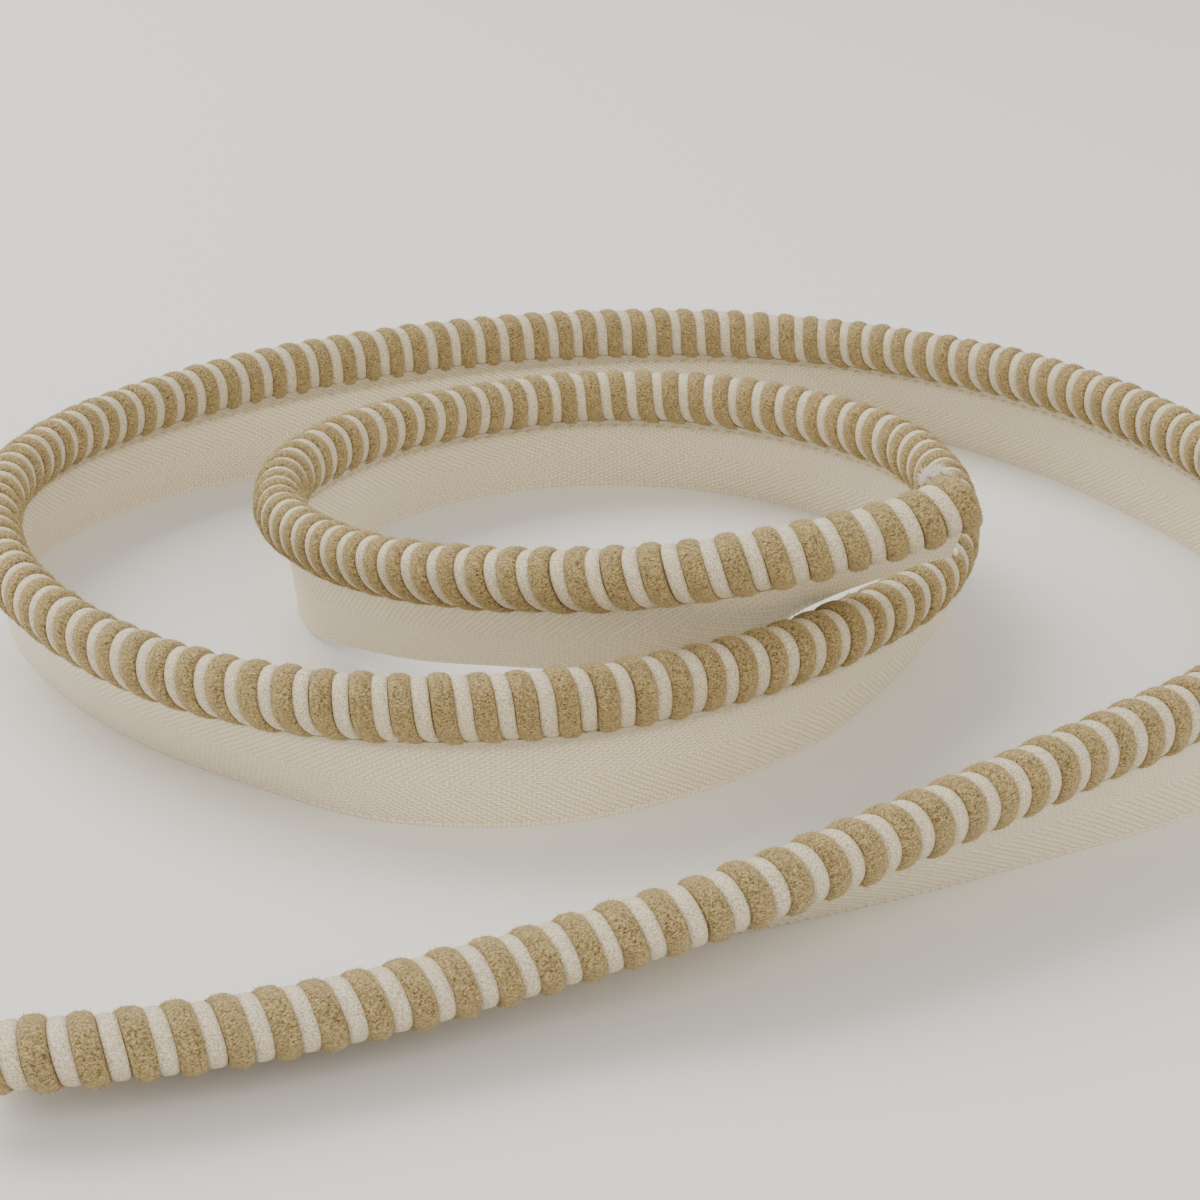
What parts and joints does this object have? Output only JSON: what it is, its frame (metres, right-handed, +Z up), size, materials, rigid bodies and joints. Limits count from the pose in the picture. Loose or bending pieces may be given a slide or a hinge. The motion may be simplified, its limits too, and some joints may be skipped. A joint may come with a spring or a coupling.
{
  "type": "flanged cord trim coil",
  "caption": "Round cord wound with a thick and a thin yarn, sewn along a flat woven tape and laid down on the tape's edge in a loose coil with a tail.",
  "frame": {"origin": "middle of the footprint, on the surface that the trim stands on", "axes": "+Z up, +Y away from the tail towards the back of the coil, +X to the right as seen from the tail's side"},
  "size_m": [0.1667, 0.2085, 0.0374],
  "materials": {
    "wound_yarn": "tan fuzzy yarn and cream yarn wound side by side",
    "woven_tape": "cream herringbone weave with a soft sheen"
  },
  "bodies": {
    "root": {"cord": "wound_yarn", "tape": "woven_tape"}
  },
  "joints": []
}
